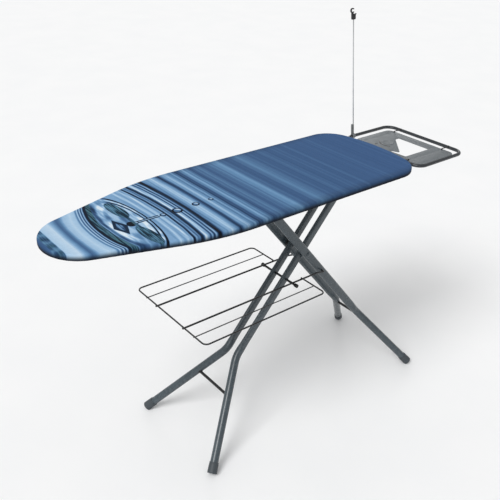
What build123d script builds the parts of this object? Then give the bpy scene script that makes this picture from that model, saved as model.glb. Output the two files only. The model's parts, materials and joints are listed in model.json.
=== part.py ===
from build123d import *
import os
from math import atan2, cos, degrees, radians, sin, sqrt, tan

os.makedirs("parts", exist_ok=True)

# Folding ironing board with a wire shelf, an iron rest and a cord guide.
# Millimetres. +X runs from the nose to the iron rest, +Z is up, the floor is z = 0.
# "Station" means the distance behind the nose tip. -Y is the near side.

# ---- Overall sizes ----
TOP_Z = 880.0          # ironing surface above the floor
BOARD_LENGTH = 1240.0
BOARD_HALF = 213.0     # half the board's width
OVERALL = 1506.0       # nose tip to the outer end of the iron rest
NOSE_X = -OVERALL / 2  # the origin is mid-length, on the floor

# ---- Board outline: nose arc, straight taper, shoulder arc, side, corner arc, bowed back ----
TAPER = 17.2           # degrees between the tapered flanks and the board's length
NOSE_R, SHOULDER_R, CORNER_R, BOW_R = 118.0, 740.0, 95.0, 600.0
CORNER_Y = BOARD_HALF - CORNER_R
CORNER_REACH = sqrt((BOW_R - CORNER_R) ** 2 - CORNER_Y ** 2)
CORNER_STATION = BOARD_LENGTH - BOW_R + CORNER_REACH
BOW_HALF = degrees(atan2(CORNER_Y, CORNER_REACH))
RISE = BOARD_HALF - SHOULDER_R * (1 - cos(radians(TAPER))) - NOSE_R * cos(radians(TAPER))
SHOULDER_STATION = (
    NOSE_R - NOSE_R * sin(radians(TAPER)) + RISE / tan(radians(TAPER))
    + SHOULDER_R * sin(radians(TAPER))
)

# ---- Board layers ----
CLOTH = 1.4            # cover cloth
PAD_BOTTOM = 873.5     # felt pad lies on the rim's top flange
RIM_BOTTOM = 862.5
RIM_WALL = 1.2
RIM_WIDTH = 12.0
SHEET_TOP = PAD_BOTTOM - RIM_WALL    # deck sheet under the rim's top flange
SHEET = 1.0
HEM_BOTTOM = 860.8
HEM_WIDTH = 32.0
RIB_BOTTOM = RIM_BOTTOM + RIM_WALL   # ribs stand on the rim's bottom flange
RIB_WALL = 1.2

# ---- Scissor legs: both pairs have equal upper arms and equal slopes ----
PIVOT_STATION, PIVOT_Z = 882.0, 590.0
SLOPE = 50.0           # degrees above the floor, both pairs
HINGE_Z = 838.0        # inner hinge pin and outer slide axle
INNER_Y, OUTER_Y = 26.4, 52.0
INNER_BEND_Z, OUTER_BEND_Z = 268.0, 249.0
INNER_FOOT = (381.0, 203.0)    # station, half spread at the floor
OUTER_FOOT = (1362.0, 196.5)
OVAL_H, OVAL_W = 30.0, 15.0    # flat-oval upper tube
TUBE_R, WALL = 13.5, 1.2       # round lower tube
BEND_R = 90.0
PIN_R, RIVET_R, REST_ROD_R = 5.0, 4.0, 4.0
SHELF_ROD_R = 3.0
CROSSBAR_R = 5.0
INNER_BAR_Z, OUTER_BAR_Z = 178.0, 220.0
CAP_R = 16.0           # foot cap
RUN = 0.05             # radial running clearance

# ---- Shelf ----
SHELF_PIN = 109.0      # pivot to the shelf's hinge, and to the rod it lies on
SHELF_FRONT, SHELF_BACK = 369.0, 845.0
SHELF_HALF = 186.0
SHELF_ROD_Y = 73.4
FRAME_WIRE_R, THIN_WIRE_R = 2.5, 1.75

# ---- Iron rest ----
REST_R = 6.0
REST_Z = 852.6
STRAP = 2.0
REST_HALF = 172.0      # centreline of the side bars
REST_BACK = OVERALL - REST_R
REST_FRONT = 1258.0
REST_CORNER = 36.0
PLATE_TOP = 854.0
PLATE = 1.5

# ---- Cord guide ----
GUIDE_STATION = 1300.0
GUIDE_LEAN = 5.8       # degrees, away from the iron rest and outwards
GUIDE_HEADING = 135.0  # degrees from +X
GUIDE_ROD_R = 2.0
GUIDE_TOP = 435.0      # rod length above the iron rest tube's centre


def at(station):
    """X of a distance behind the nose tip."""
    return NOSE_X + station


def save(shape, node):
    """Writes one node."""
    export_step(shape, f"parts/{node}.step")


def y_rod(station, z, y0, y1, radius):
    """Round bar along Y."""
    middle = Pos(at(station), (y0 + y1) / 2, z) * Rot(90, 0, 0)
    return middle * Cylinder(radius, abs(y1 - y0))


def box(s0, s1, y0, y1, z0, z1):
    """Box between two stations, two Y and two Z."""
    size = Box(s1 - s0, y1 - y0, z1 - z0)
    return Pos(at((s0 + s1) / 2), (y0 + y1) / 2, (z0 + z1) / 2) * size


def wire(points, radius, bends, closed=False):
    """Round bar bent along a polyline, its corners rounded to the bends' radius."""
    line = FilletPolyline(*points, radius=bends, close=closed)
    start = Plane(origin=line @ 0, z_dir=line % 0)
    return sweep(start * Circle(radius), path=line)


# ---------------------------------------------------------------- board
def board_face(inset=0.0):
    """The board from above, moved in by inset: tangent arcs and lines about fixed centres."""
    flank = 90 + TAPER
    nose = CenterArc((at(NOSE_R), 0), NOSE_R - inset, flank, 360 - 2 * flank)
    bow = CenterArc((at(BOARD_LENGTH - BOW_R), 0), BOW_R - inset, -BOW_HALF, 2 * BOW_HALF)
    edges = [nose, bow]
    for side in (1, -1):
        shoulder = CenterArc(
            (at(SHOULDER_STATION), side * (BOARD_HALF - SHOULDER_R)), SHOULDER_R - inset,
            side * 90, side * TAPER,
        )
        corner = CenterArc(
            (at(CORNER_STATION), side * CORNER_Y), CORNER_R - inset,
            side * BOW_HALF, side * (90 - BOW_HALF),
        )
        nose_end = nose @ 0 if side > 0 else nose @ 1
        edges += [shoulder, corner]
        edges.append(Line(nose_end, shoulder @ 1))
        edges.append(Line(shoulder @ 0, corner @ 1))
    return make_face(edges)


def slab(inset, z0, z1):
    """The board's outline, moved in by inset, between two heights."""
    return extrude(Pos(0, 0, z0) * board_face(inset), z1 - z0)


def rounded_slab(inset, z0, z1, radius):
    """The same with a rounded top edge."""
    body = slab(inset, z0, z1)
    return fillet(body.faces().sort_by(Axis.Z)[-1].edges(), radius)


cover = rounded_slab(0, HEM_BOTTOM, TOP_Z, 5)
cover -= rounded_slab(CLOTH, HEM_BOTTOM + 1.2, TOP_Z - CLOTH, 3.6)
cover -= slab(HEM_WIDTH, HEM_BOTTOM - 1, HEM_BOTTOM + 2)
save(cover, "board_cover")

pad = rounded_slab(CLOTH + 0.05, PAD_BOTTOM, TOP_Z - CLOTH - 0.05, 3.6)
pad += slab(CLOTH + RIM_WIDTH + 1, SHEET_TOP, PAD_BOTTOM)
save(pad, "felt_pad")

# Rim: a C channel all round, open to the inside.
rim_in = CLOTH + 0.4
rim = slab(rim_in, RIM_BOTTOM, PAD_BOTTOM) - slab(rim_in + RIM_WIDTH, RIM_BOTTOM, PAD_BOTTOM)
rim -= slab(rim_in + RIM_WALL, RIM_BOTTOM + RIM_WALL, PAD_BOTTOM - RIM_WALL)
save(rim, "rim_frame")

# Deck sheet with a staggered field of steam openings.
PITCH_X, PITCH_Y = 84.0, 40.0
sheet_inset = rim_in + RIM_WALL
sheet = board_face(sheet_inset)
field = board_face(30)
diamond = make_face(Polyline((-35, 0), (0, -15.5), (35, 0), (0, 15.5), close=True))
openings = []
for row in range(-9, 10):
    for column in range(0, 15):
        shift = PITCH_X / 2 if row % 2 else 0
        centre = Pos(at(62 + column * PITCH_X + shift), row * PITCH_Y / 2)
        hole = centre * diamond
        corners = [v.center() for v in hole.vertices()]
        if all(field.is_inside(c) for c in corners):
            openings.append(hole)
sheet = extrude(Pos(0, 0, SHEET_TOP - SHEET) * (sheet - openings), SHEET)
save(sheet, "deck_sheet")

# Cross ribs: shallow thin-walled channels between the deck sheet and the rim's lower flange.
RIBS = {"nose": (150, 30), "front": (440, 30), "middle": (720, 36), "hinge": (1090, 50), "rear": (1188, 30)}
rib_inside = slab(sheet_inset + 0.2, RIB_BOTTOM, SHEET_TOP - SHEET)
for name, (station, width) in RIBS.items():
    rib = box(station - width / 2, station + width / 2, -240, 240, RIB_BOTTOM, SHEET_TOP - SHEET)
    hollow = width / 2 - RIB_WALL
    rib -= box(station - hollow, station + hollow, -240, 240, RIB_BOTTOM + RIB_WALL, SHEET_TOP)
    save(rib & rib_inside, f"deck_rib_{name}")

# Track rails that the outer legs' axle slides in.
GLIDE_R = 6.2
for side, name in ((-1, "near"), (1, "far")):
    low = HINGE_Z - GLIDE_R - 0.1
    high = HINGE_Z + GLIDE_R + 0.1
    profile = [
        (68, low - 2), (82, low - 2), (82, RIB_BOTTOM - 2), (98, RIB_BOTTOM - 2),
        (98, RIB_BOTTOM), (80, RIB_BOTTOM), (80, high + 2), (68, high + 2),
        (68, high), (80, high), (80, low), (68, low),
    ]
    face = Plane.YZ * make_face(Polyline(*[(side * y, z) for y, z in profile], close=True))
    rail = Pos(at(420), 0, 0) * extrude(face, 294)
    save(rail, f"track_rail_{name}")

# Notched strip that sets the working heights.
NOTCH_PITCH = 32.0
arm = (HINGE_Z - PIVOT_Z) / sin(radians(SLOPE))
HINGE_STATION = PIVOT_STATION + arm * cos(radians(SLOPE))
AXLE_STATION = PIVOT_STATION - arm * cos(radians(SLOPE))
rack = box(432, 708, 20, 23, 844.2, RIB_BOTTOM)
for step in range(8):
    rack -= y_rod(AXLE_STATION - step * NOTCH_PITCH, 842.5, 18, 25, 6)
save(rack, "height_rack")

# Hinge bracket and pin for the inner legs.
bracket = box(HINGE_STATION - 22, HINGE_STATION + 22, -39, 39, 820, RIB_BOTTOM)
bracket -= box(HINGE_STATION - 30, HINGE_STATION + 30, -36, 36, 810, RIB_BOTTOM - 3)
bracket = fillet(bracket.edges().filter_by(Axis.Y).group_by(Axis.Z)[0], 16)
bracket -= y_rod(HINGE_STATION, HINGE_Z, -50, 50, PIN_R + RUN)
save(bracket, "hinge_bracket")
pin = y_rod(HINGE_STATION, HINGE_Z, -42, 42, PIN_R)
pin += y_rod(HINGE_STATION, HINGE_Z, -44.5, -39.1, 8) + y_rod(HINGE_STATION, HINGE_Z, 39.1, 44.5, 8)
save(pin, "hinge_pin")


# ---------------------------------------------------------------- legs
def leg_points(side, way, y_top, bend_z, foot):
    """Top pin, bend and floor point of one leg; way is -1 for a foot towards the nose."""
    run = 1 / tan(radians(SLOPE))
    top = Vector(at(PIVOT_STATION - way * (HINGE_Z - PIVOT_Z) * run), side * y_top, HINGE_Z)
    bend = Vector(at(PIVOT_STATION + way * (PIVOT_Z - bend_z) * run), side * y_top, bend_z)
    floor = Vector(at(foot[0]), side * foot[1], 0)
    return top, bend, floor


def leg_solids(points, grow=0.0):
    """Flat-oval upper tube, drawn-down neck and round lower tube; grow < 0 gives the bores."""
    top, bend, floor = points
    down = (bend - top).normalized()
    out = (floor - bend).normalized()
    tangent = BEND_R * tan(radians(down.get_angle(out) / 2))
    neck_end = bend - down * (tangent + 4)
    neck_start = neck_end - down * 34
    head = top - down * OVAL_H / 2
    end = floor - out * 18
    height, width, round_d = (size + 2 * grow for size in (OVAL_H, OVAL_W, 2 * TUBE_R))
    oval = RectangleRounded(height, width, width / 2 - 0.1)
    circle = RectangleRounded(round_d, round_d, round_d / 2 - 0.1)

    def across(origin):
        return Plane(origin=origin, x_dir=down.cross(Vector(0, 1, 0)), z_dir=down)

    upper = extrude(across(head) * oval, (neck_start - head).length)
    neck = loft([across(neck_start) * oval, across(neck_end) * circle])
    path = FilletPolyline(neck_end, bend, end, radius=BEND_R)
    lower = sweep(across(neck_end) * circle, path=path)
    crown = across(head) * Box(4 * OVAL_H, 4 * OVAL_W, OVAL_H)
    crown -= Pos(*top) * Rot(90, 0, 0) * Cylinder(OVAL_H / 2, 5 * OVAL_W)
    return [upper - crown, neck, lower]


def leg_tube(points):
    """The three lengths of tube with their bores, joined."""
    lengths = [skin - bore for skin, bore in zip(leg_solids(points), leg_solids(points, -WALL))]
    return lengths[0] + lengths[1] + lengths[2]


def foot_cap(points, skin):
    """Foot cap round the tube's end, cut square, with a small flat sole where it meets the floor."""
    top, bend, floor = points
    out = (floor - bend).normalized()
    end = (CAP_R * sqrt(1 - out.Z ** 2) - 3.5) / -out.Z
    plane = Plane(origin=floor - out * 48, z_dir=out)
    body = extrude(plane * Circle(CAP_R), 48 - end)
    body = fillet(body.edges().filter_by(GeomType.CIRCLE).sort_by(Axis.Z)[0], 2)
    body -= box(-100, 2000, -400, 400, -80, 0)
    return body - skin


def crossbar(points_pair, z, skins):
    """Round bar between a pair's lower tubes, its ends shaped to the tubes."""
    bends = [p[1] for p in points_pair]
    floors = [p[2] for p in points_pair]
    ends = [b + (f - b) * ((b.Z - z) / b.Z) for b, f in zip(bends, floors)]
    bar = y_rod(ends[0].X - NOSE_X, z, ends[0].Y, ends[1].Y, CROSSBAR_R)
    for skin in skins:
        bar -= skin
    return bar.solids().sort_by(SortBy.VOLUME)[-1]


shelf_drop = SHELF_PIN * sin(radians(SLOPE))
shelf_run = SHELF_PIN * cos(radians(SLOPE))
LOW_Z = PIVOT_Z - shelf_drop
REST_ROD_STATION = PIVOT_STATION - shelf_run
SHELF_HINGE_STATION = PIVOT_STATION + shelf_run

for pair, way, y_top, bend_z, foot, bar_z in (
    ("inner", -1, INNER_Y, INNER_BEND_Z, INNER_FOOT, INNER_BAR_Z),
    ("outer", 1, OUTER_Y, OUTER_BEND_Z, OUTER_FOOT, OUTER_BAR_Z),
):
    both = [leg_points(side, way, y_top, bend_z, foot) for side in (-1, 1)]
    skins = [leg_solids(points)[2] for points in both]
    for points, skin, name in zip(both, skins, ("near", "far")):
        save(foot_cap(points, skin), f"{pair}_foot_cap_{name}")
        tube = leg_tube(points)
        tube -= y_rod(PIVOT_STATION, PIVOT_Z, -80, 80, RIVET_R + RUN)
        if pair == "inner":
            tube -= y_rod(HINGE_STATION, HINGE_Z, -80, 80, PIN_R + RUN)
            tube -= y_rod(REST_ROD_STATION, LOW_Z, -80, 80, REST_ROD_R + RUN)
        else:
            tube -= y_rod(AXLE_STATION, HINGE_Z, -80, 80, PIN_R + RUN)
            tube -= y_rod(SHELF_HINGE_STATION, LOW_Z, -80, 80, SHELF_ROD_R + RUN)
        save(tube, f"{pair}_leg_{name}")
    save(crossbar(both, bar_z, skins), f"{pair}_crossbar")

# Scissor rivets with domed heads, and the bushes that keep the pairs apart.
INNER_FACE = INNER_Y - OVAL_W / 2
OUTER_FACE = OUTER_Y + OVAL_W / 2
for side, name in ((-1, "near"), (1, "far")):
    rivet = y_rod(PIVOT_STATION, PIVOT_Z, side * (INNER_FACE - 1), side * (OUTER_FACE + 1), RIVET_R)
    for face_y, outward in ((OUTER_FACE + 0.2, side), (INNER_FACE - 0.2, -side)):
        centre = Pos(at(PIVOT_STATION), side * face_y - outward * 5, PIVOT_Z)
        dome = centre * Sphere(9)
        reach = side * face_y + outward * 6
        low_y, high_y = sorted((side * face_y, reach))
        rivet += dome & box(PIVOT_STATION - 12, PIVOT_STATION + 12, low_y, high_y, PIVOT_Z - 12, PIVOT_Z + 12)
    save(rivet, f"pivot_rivet_{name}")
    gap = (INNER_Y + OVAL_W / 2 + 0.3, OUTER_Y - OVAL_W / 2 - 0.3)
    bush = y_rod(PIVOT_STATION, PIVOT_Z, side * gap[0], side * gap[1], 9)
    bush -= y_rod(PIVOT_STATION, PIVOT_Z, side * 20, side * 60, RIVET_R + RUN)
    save(bush, f"pivot_bush_{name}")

# Sleeve on the hinge pin, between the inner legs.
sleeve = y_rod(HINGE_STATION, HINGE_Z, -INNER_FACE + 0.3, INNER_FACE - 0.3, 8)
save(sleeve - y_rod(HINGE_STATION, HINGE_Z, -60, 60, PIN_R + RUN), "hinge_sleeve")

# Slide axle of the outer legs, with a glide on each end.
axle = y_rod(AXLE_STATION, HINGE_Z, -79, 79, PIN_R)
save(axle, "slide_axle")
for side, name in ((-1, "near"), (1, "far")):
    glide = y_rod(AXLE_STATION, HINGE_Z, side * 67, side * 79.5, GLIDE_R)
    glide += y_rod(AXLE_STATION, HINGE_Z, side * 60, side * 67, 8)
    glide -= y_rod(AXLE_STATION, HINGE_Z, side * 50, side * 90, PIN_R)
    save(glide, f"axle_glide_{name}")

# Rod through the inner legs that the shelf lies on, with end caps.
rest_rod = y_rod(REST_ROD_STATION, LOW_Z, -88, 88, REST_ROD_R)
save(rest_rod, "shelf_rest_rod")
caps = []
for side in (-1, 1):
    cap = y_rod(REST_ROD_STATION, LOW_Z, side * 78, side * 91, 6.5)
    caps.append(cap - y_rod(REST_ROD_STATION, LOW_Z, side * 70, side * 88, REST_ROD_R))
save(Compound(children=caps), "shelf_rest_caps")

# ---------------------------------------------------------------- shelf
ROD_Z = LOW_Z + REST_ROD_R + SHELF_ROD_R + 0.05
FRAME_Z = ROD_Z + SHELF_ROD_R + FRAME_WIRE_R
THIN_Z = FRAME_Z - FRAME_WIRE_R - THIN_WIRE_R
for side, name in ((-1, "near"), (1, "far")):
    y = side * SHELF_ROD_Y
    hinge = at(SHELF_HINGE_STATION)
    route = [
        (at(SHELF_FRONT - 3), y, ROD_Z), (hinge - 34, y, ROD_Z),
        (hinge, y, LOW_Z), (hinge, side * 47, LOW_Z),
    ]
    save(wire(route, SHELF_ROD_R, 6), f"shelf_rod_{name}")
    thin = Pos(at((SHELF_FRONT + SHELF_BACK) / 2), side * 130, THIN_Z) * Rot(0, 90, 0)
    thin *= Cylinder(THIN_WIRE_R, SHELF_BACK - SHELF_FRONT + 4)
    save(thin, f"shelf_wire_{name}")
loop = [
    (at(SHELF_BACK), -SHELF_ROD_Y + 3, FRAME_Z), (at(SHELF_BACK), -SHELF_HALF, FRAME_Z),
    (at(SHELF_FRONT), -SHELF_HALF, FRAME_Z), (at(SHELF_FRONT), SHELF_HALF, FRAME_Z),
    (at(SHELF_BACK), SHELF_HALF, FRAME_Z), (at(SHELF_BACK), SHELF_ROD_Y - 3, FRAME_Z),
]
save(wire(loop, FRAME_WIRE_R, 16), "shelf_frame")

# ---------------------------------------------------------------- release lever
LEVER_STATION, LEVER_Z, LEVER_R = 728.0, 850.0, 4.0
lever = y_rod(LEVER_STATION, LEVER_Z, -178, 28, LEVER_R)
lever += box(660, LEVER_STATION, -9, 9, LEVER_Z - 1.5, LEVER_Z + 1.5)
lever += box(660, 666, -9, 9, 844.5, LEVER_Z + 1.5)
lever += box(642, LEVER_STATION, -176, -156, LEVER_Z - 1.5, LEVER_Z + 1.5)
save(lever, "release_lever")
grip = fillet(box(634, 706, -179, -153, 844, 856).edges(), 3)
save(grip - box(642, 800, -176.05, -155.95, LEVER_Z - 1.55, LEVER_Z + 1.55), "lever_grip")
ears = []
for y0 in (-142, 23.5):
    ear = box(718, 738, y0, y0 + 3, LEVER_Z - 10, RIB_BOTTOM)
    ears.append(ear - y_rod(LEVER_STATION, LEVER_Z, y0 - 1, y0 + 4, LEVER_R + RUN))
save(Compound(children=ears), "lever_brackets")
coil = Helix(pitch=3, height=27, radius=6)
start = Plane(origin=coil @ 0, z_dir=coil % 0)
coil_bar = sweep(start * Circle(0.8), path=coil, is_frenet=True)
save(Pos(at(LEVER_STATION), -108, LEVER_Z) * Rot(90, 0, 0) * coil_bar, "lever_spring")

# ---------------------------------------------------------------- iron rest
ring = [
    (at(REST_FRONT), -REST_HALF), (at(REST_BACK), -REST_HALF),
    (at(REST_BACK), REST_HALF), (at(REST_FRONT), REST_HALF),
]
corners = [(x, y, REST_Z) for x, y in ring]


def rest_loop(radius):
    """Closed loop of round bar with rounded corners."""
    line = FilletPolyline(*corners, radius=REST_CORNER, close=True)
    start = Plane(origin=line @ 0, z_dir=line % 0)
    return sweep(start * Circle(radius), path=line)


save(rest_loop(REST_R) - rest_loop(REST_R - WALL), "rest_frame")

# Straps that carry the loop from the rear rib, passing under the rim.
top = REST_Z + REST_R
strap_line = [
    (1266, top), (1266, top + STRAP), (1199, top + STRAP), (1196, RIB_BOTTOM), (1172, RIB_BOTTOM),
    (1172, RIB_BOTTOM - STRAP), (1194.5, RIB_BOTTOM - STRAP), (1197.5, top),
]
strap_face = Plane.XZ * make_face(Polyline(*[(at(s), z) for s, z in strap_line], close=True))
for y, name in ((-70, "near"), (70, "far")):
    save(Pos(0, y + 15, 0) * extrude(strap_face, 30), f"rest_strap_{name}")

# Iron plate: rounded sheet, an iron-shaped opening with a tongue, embossed dish, clip holes.
PLATE_FRONT, PLATE_BACK = 1272.0, 1463.0
PLATE_NEAR, PLATE_FAR = -162.0, 138.0
CLIP_Y = 110.0
outer = RectangleRounded(PLATE_BACK - PLATE_FRONT, PLATE_FAR - PLATE_NEAR, 22)
plate = Pos(at((PLATE_FRONT + PLATE_BACK) / 2), (PLATE_NEAR + PLATE_FAR) / 2) * outer
opening = [(1400, 55), (1421, 56), (1421, -82), (1295, -82), (1289, 8), (1310, -42)]
cut = make_face(Polyline(*[(at(s), y) for s, y in opening], close=True))
cut = fillet(cut.vertices(), 5)
plate = extrude(Pos(0, 0, PLATE_TOP - PLATE) * (plate - cut), PLATE)
dish = Pos(at(1366), 56, PLATE_TOP) * Torus(40, 1.2)
plate += dish & box(1310, 1366, 4, 56, PLATE_TOP - 0.5, PLATE_TOP + 2)
for s in (PLATE_FRONT + 6, PLATE_BACK - 6):
    for y in (-CLIP_Y, CLIP_Y):
        plate -= Pos(at(s), y, PLATE_TOP) * Cylinder(2.3, 10)
save(plate, "rest_plate")

# Wire clips that hang the plate inside the loop.
clips = []
for bar, hole in ((REST_FRONT, PLATE_FRONT + 6), (REST_BACK, PLATE_BACK - 6)):
    away = 1 if hole < bar else -1
    clip_r = REST_R + 2.1
    for y in (-CLIP_Y, CLIP_Y):
        over = [(cos(radians(a)), sin(radians(a))) for a in (180, 150, 112)]
        arc = ThreePointArc(*[(at(bar) + away * clip_r * c, y, REST_Z + clip_r * s) for c, s in over])
        hook = sweep(Plane(origin=arc @ 0, z_dir=arc % 0) * Circle(1.9), path=arc)
        drop = Pos(at(hole), y, PLATE_TOP - 1) * Cylinder(1.9, 14)
        across_x = (at(hole) + at(bar) - away * clip_r) / 2
        span = abs(at(hole) - (at(bar) - away * clip_r))
        link = Pos(across_x, y, PLATE_TOP + 4.5) * Rot(0, 90, 0) * Cylinder(1.9, span + 1)
        clips.append(hook + link + drop)
save(Compound(children=clips), "rest_clips")

# ---------------------------------------------------------------- cord guide
GUIDE_TILT = Rot(0, 0, GUIDE_HEADING) * Rot(0, GUIDE_LEAN, 0) * Rot(0, 0, -GUIDE_HEADING)
GUIDE_BASE = Pos(at(GUIDE_STATION), REST_HALF, REST_Z) * GUIDE_TILT
socket = Pos(at(GUIDE_STATION), REST_HALF, REST_Z) * Rot(0, 90, 0) * Cylinder(8.5, 12)
socket += GUIDE_BASE * Pos(-2, 1.6, 25) * Cylinder(5.3, 38)
socket -= Pos(at(GUIDE_STATION), REST_HALF, REST_Z) * Rot(0, 90, 0) * Cylinder(REST_R + 0.02, 40)
socket -= GUIDE_BASE * Pos(0, 0, 47) * Cylinder(GUIDE_ROD_R + RUN, 60)
socket -= box(GUIDE_STATION - 20, GUIDE_STATION + 20, REST_HALF - 2, REST_HALF + 2, REST_Z - 20, REST_Z)
save(socket, "cord_guide_socket")
rod = GUIDE_BASE * Pos(0, 0, (18 + GUIDE_TOP) / 2) * Cylinder(GUIDE_ROD_R, GUIDE_TOP - 18)
save(rod, "cord_guide_rod")
clip = GUIDE_BASE * Pos(0, 0, GUIDE_TOP - 6) * Box(15, 9, 24)
clip -= GUIDE_BASE * Pos(6, 0, GUIDE_TOP + 12) * Rot(90, 0, 0) * Cylinder(13, 20)
ring_at = GUIDE_BASE * Pos(-5, 0, GUIDE_TOP + 12) * Rot(90, 0, 0)
hook = ring_at * (Cylinder(8.5, 7) - Cylinder(5.3, 9))
hook -= GUIDE_BASE * Pos(6, 0, GUIDE_TOP + 16) * Box(12, 12, 7)
clip += hook
clip -= GUIDE_BASE * Pos(0, 0, GUIDE_TOP - 15) * Cylinder(GUIDE_ROD_R, 30)
save(clip, "cord_guide_clip")
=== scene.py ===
import json
import math

import bmesh
import bpy
import numpy as np
from mathutils import Matrix, Vector


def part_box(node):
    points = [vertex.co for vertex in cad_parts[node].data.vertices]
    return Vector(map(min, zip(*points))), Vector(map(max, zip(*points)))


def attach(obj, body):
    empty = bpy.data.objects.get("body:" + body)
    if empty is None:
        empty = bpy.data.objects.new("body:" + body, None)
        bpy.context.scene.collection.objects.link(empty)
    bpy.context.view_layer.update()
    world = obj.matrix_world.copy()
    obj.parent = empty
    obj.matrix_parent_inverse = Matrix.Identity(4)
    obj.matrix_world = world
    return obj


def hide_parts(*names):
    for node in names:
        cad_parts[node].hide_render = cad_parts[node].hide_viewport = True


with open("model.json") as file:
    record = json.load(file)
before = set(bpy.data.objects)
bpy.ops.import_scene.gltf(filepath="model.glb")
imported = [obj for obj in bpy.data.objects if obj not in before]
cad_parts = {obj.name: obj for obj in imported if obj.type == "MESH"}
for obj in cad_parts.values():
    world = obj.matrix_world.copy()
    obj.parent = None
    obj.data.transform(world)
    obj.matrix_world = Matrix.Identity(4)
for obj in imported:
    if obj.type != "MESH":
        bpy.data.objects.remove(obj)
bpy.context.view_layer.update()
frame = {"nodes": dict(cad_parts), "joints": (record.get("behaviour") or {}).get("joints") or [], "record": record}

# Looks of a folding ironing board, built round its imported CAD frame. Metres, +X from the nose
# to the iron rest, +Z up. "Station" is the distance behind the nose tip, and -Y is the near side.
RECORD = frame["record"]
JOINT = {joint["name"]: Vector(joint["pos_m"]) for joint in frame["joints"]}
AXIS = {joint["name"]: Vector(joint["axis"]) for joint in frame["joints"]}
MOUNT = {mount["name"]: Vector(mount["pos_m"]) for mount in RECORD["mounts"]}
SIDES = {"near": -1, "far": 1}
NOSE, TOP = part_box("board_cover")[0].x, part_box("board_cover")[1].z
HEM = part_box("board_cover")[0].z
MM = 0.001


# ---------------------------------------------------------------- meshes
def piece(name, vertices, faces, crease=35):
    """A smooth-shaded mesh object with outward faces; edges sharper than crease degrees stay sharp."""
    mesh = bpy.data.meshes.new(name)
    mesh.from_pydata([tuple(v) for v in vertices], [], faces)
    return shaded(name, mesh, crease)


def shaded(name, mesh, crease=35):
    """The object of a mesh, cleaned of doubles, faced outwards and shaded smooth."""
    work = bmesh.new()
    work.from_mesh(mesh)
    bmesh.ops.remove_doubles(work, verts=work.verts, dist=1e-6)
    bmesh.ops.recalc_face_normals(work, faces=work.faces)
    work.to_mesh(mesh)
    work.free()
    mesh.shade_smooth()
    mesh.set_sharp_from_angle(angle=math.radians(crease))
    obj = bpy.data.objects.new(name, mesh)
    bpy.context.scene.collection.objects.link(obj)
    return obj


def skin(name, rings, loop=False, caps=True, crease=35):
    """Quads between successive rings of points; loop joins the last ring to the first."""
    rings = np.asarray(rings, float)
    rows, count = rings.shape[:2]
    faces = []
    for row in range(rows if loop else rows - 1):
        here, there = row * count, (row + 1) % rows * count
        for k in range(count):
            after = (k + 1) % count
            faces.append((here + k, here + after, there + after, there + k))
    if caps and not loop:
        faces.append(tuple(range(count)))
        faces.append(tuple((rows - 1) * count + k for k in range(count)))
    return piece(name, rings.reshape(-1, 3), faces, crease)


def modifier(obj, kind, **settings):
    """Adds a modifier with its settings."""
    added = obj.modifiers.new(kind.title(), kind)
    for key, value in settings.items():
        setattr(added, key, value)
    return obj


def joined(name, parts, crease=35):
    """One object from several, with their modifiers applied."""
    work = bmesh.new()
    for part in parts:
        depsgraph = bpy.context.evaluated_depsgraph_get()
        mesh = bpy.data.meshes.new_from_object(part.evaluated_get(depsgraph))
        work.from_mesh(mesh)
        bpy.data.meshes.remove(mesh)
        bpy.data.objects.remove(part)
    mesh = bpy.data.meshes.new(name)
    work.to_mesh(mesh)
    work.free()
    return shaded(name, mesh, crease)


def route(points, bend=0.0, closed=False, turn=7):
    """A polyline with its corners rounded to the radius bend, one point every turn degrees."""
    points = [Vector(p) for p in points]
    path = []
    for k, corner in enumerate(points):
        if not closed and k in (0, len(points) - 1):
            path.append(corner)
            continue
        back = (points[k - 1] - corner).normalized()
        ahead = (points[(k + 1) % len(points)] - corner).normalized()
        angle = math.pi - back.angle(ahead)
        if angle < 0.01:
            path.append(corner)
            continue
        centre = corner + (back + ahead).normalized() * bend / math.cos(angle / 2)
        arm = corner + back * bend * math.tan(angle / 2) - centre
        steps = max(2, math.ceil(math.degrees(angle) / turn))
        for step in range(steps + 1):
            path.append(centre + Matrix.Rotation(angle * step / steps, 3, ahead.cross(back)) @ arm)
    return path


def tangents(path, closed):
    """Unit tangents of a path of numpy points."""
    runs = np.roll(path, -1, 0) - path
    runs /= np.maximum(np.linalg.norm(runs, axis=1, keepdims=True), 1e-9)
    if not closed:
        runs[-1] = runs[-2]
    before = np.roll(runs, 1, 0)
    if not closed:
        before[0] = runs[0]
    along = runs + before
    return along / np.linalg.norm(along, axis=1, keepdims=True)


def round_section(radius, sides):
    """A circle as (across, up) pairs."""
    angles = np.arange(sides) * 2 * math.pi / sides
    return np.stack([np.cos(angles), np.sin(angles)], 1) * radius


def oval_section(across, up, sides=40):
    """A flat oval with full-round ends; across and up are its half sizes."""
    radius = min(across, up)
    angles = (np.arange(sides) + 0.5) * 2 * math.pi / sides
    turns = np.stack([np.cos(angles), np.sin(angles)], 1)
    return turns * radius + np.sign(turns) * (across - radius, up - radius)


def sweep(name, path, sections, closed=False, up=None, caps=True):
    """A tube with a section of its own at each point of the path. With up, the section's second
    axis keeps that way; without it the sections turn as little as possible."""
    path = np.asarray([tuple(p) for p in path], float)
    along = tangents(path, closed)
    rings = []
    over = np.array(tuple(up if up is not None else Vector(along[0]).orthogonal()), float)
    for point, way, section in zip(path, along, sections):
        over = over - way * (over @ way)
        over /= np.linalg.norm(over)
        side = np.cross(over, way)
        rings.append(point + section[:, :1] * side + section[:, 1:] * over)
        if up is not None:
            over = np.array(tuple(up), float)
    return skin(name, rings, loop=closed, caps=caps)


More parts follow.
